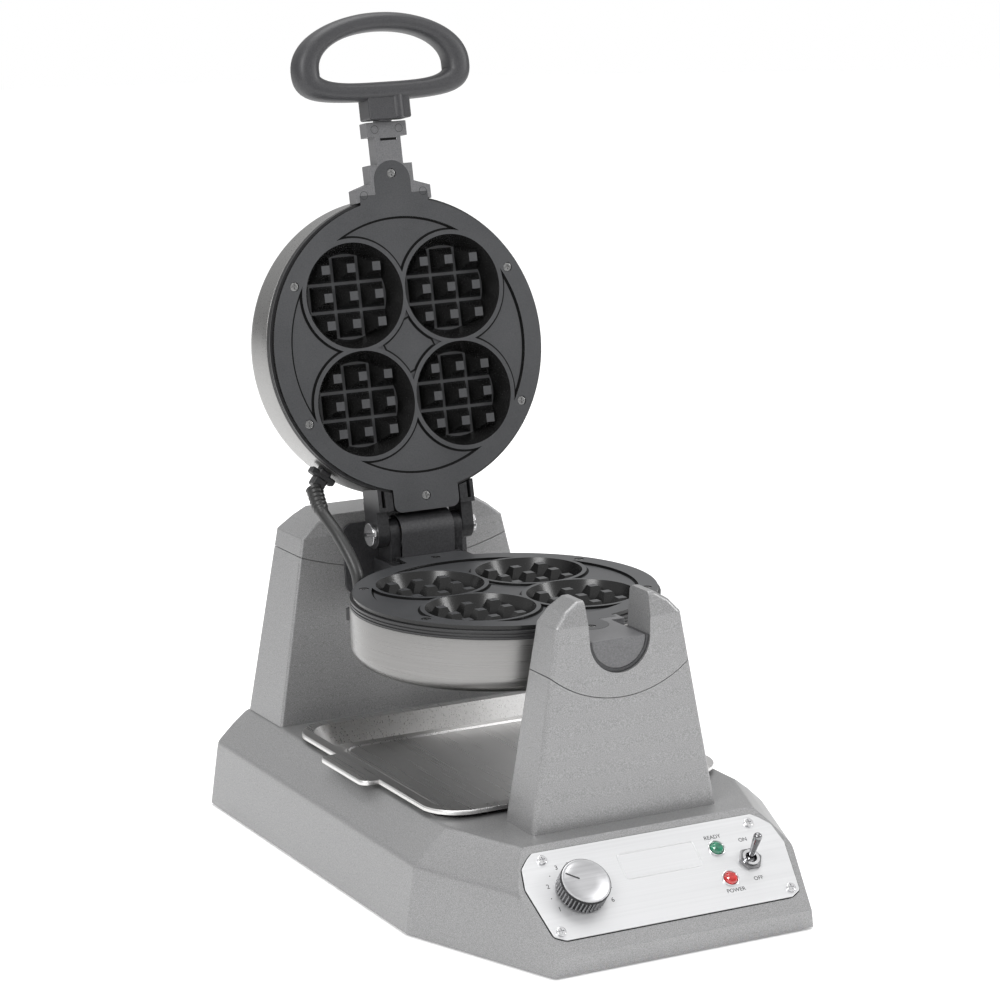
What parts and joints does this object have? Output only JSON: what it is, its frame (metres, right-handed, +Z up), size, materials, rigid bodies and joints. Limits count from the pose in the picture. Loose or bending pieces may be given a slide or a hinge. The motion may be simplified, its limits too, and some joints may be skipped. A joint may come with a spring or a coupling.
{
  "type": "belgian waffle maker",
  "caption": "Counter-top waffle maker with a cast base, two towers, a turning round head, a hinged lid with a fold-down grip, a control panel and a lift-out drip tray.",
  "frame": {"origin": "middle of the footprint of the whole machine, on the surface that its feet stand on", "axes": "+Z up, the control panel faces -Y, +X is the user's right seen from the panel"},
  "size_m": [0.2824, 0.464, 0.5796],
  "materials": {
    "bracket_grey": "mid grey",
    "bronze": "sintered bush",
    "cast_paint": "fine speckled silver-grey coating",
    "cover_grey": "dark grey",
    "grip_black": "matte charcoal",
    "heater": "sheathed element",
    "hinge_black": "black satin",
    "knob": "satin cap, fluted side",
    "lamp_green": "faceted jewel",
    "lamp_red": "faceted jewel",
    "lead": "matte jacket",
    "nonstick": "dark grey satin non-stick coating",
    "panel": "light satin",
    "phenolic": "moulded",
    "ring_black": "black moulded",
    "rubber": "matte",
    "screw": "bright",
    "steel": "satin spun stainless",
    "steel_plate": "satin",
    "switch_metal": "bright"
  },
  "bodies": {
    "base": {"base_shell": "cast_paint", "bottom_plate": "steel_plate", "rubber_feet": "rubber", "bottom_screws": "screw", "tower_screws": "screw", "front_tower": "cast_paint", "front_tower_cap": "cast_paint", "notch_liner": "cover_grey", "rear_tower": "cast_paint", "rear_tower_cap": "cast_paint", "rear_bearing": "bronze", "bearing_cover": "cover_grey", "service_cover": "cast_paint", "service_screws": "screw", "cord_gland": "ring_black", "terminal_block": "phenolic", "control_plate": "panel", "panel_screws": "screw", "ready_lamp_lens": "lamp_green", "power_lamp_lens": "lamp_red", "lamp_holders": "phenolic", "switch_body": "phenolic", "switch_nut": "switch_metal", "thermostat_body": "phenolic"},
    "knob": {"temperature_knob": "knob", "thermostat_shaft": "steel"},
    "toggle": {"toggle_lever": "switch_metal"},
    "tray": {"drip_tray": "steel"},
    "head": {"lower_plate": "nonstick", "lower_ring": "ring_black", "lower_heater": "heater", "lower_plate_screws": "screw", "front_half_shaft": "bracket_grey", "hinge_posts": "hinge_black", "hinge_guard": "cover_grey", "rear_trunnion": "hinge_black", "lead_gland": "ring_black", "lower_bowl": "steel"},
    "lid": {"upper_plate": "nonstick", "upper_ring": "ring_black", "upper_heater": "heater", "upper_bowl": "steel", "upper_plate_screws": "screw", "hinge_frame": "hinge_black", "hinge_bolts": "screw", "handle_bracket": "bracket_grey", "lead_clip": "ring_black", "power_lead": "lead"},
    "grip": {"grip_loop": "grip_black", "fold_pin": "screw"}
  },
  "joints": [
    {"name": "knob_turn", "type": "hinge", "parent": "base", "child": "knob", "pos_m": [-0.0603, -0.19799, 0.04402], "axis": [0, -0.6524, 0.7579], "range_deg": [-174, 63]},
    {"name": "switch_toggle", "type": "hinge", "parent": "base", "child": "toggle", "pos_m": [0.0662, -0.19908, 0.04467], "axis": [1, 0, 0], "range_deg": [0, 24]},
    {"name": "tray_lift", "type": "slide", "parent": "base", "child": "tray", "axis": [0, 0, 1], "range_m": [0, 0.035]},
    {"name": "head_turn", "type": "hinge", "parent": "base", "child": "head", "pos_m": [0, 0.0176, 0.1919], "axis": [0, 1, 0], "range_deg": [-15, 15]},
    {"name": "lid_hinge", "type": "hinge", "parent": "head", "child": "lid", "pos_m": [0, 0.1513, 0.2085], "axis": [1, 0, 0], "range_deg": [0, 101.15], "deforming": ["power_lead"]},
    {"name": "grip_fold", "type": "hinge", "parent": "lid", "child": "grip", "pos_m": [0, 0.19954, 0.50599], "axis": [-1, 0, 0], "range_deg": [0, 90]}
  ]
}
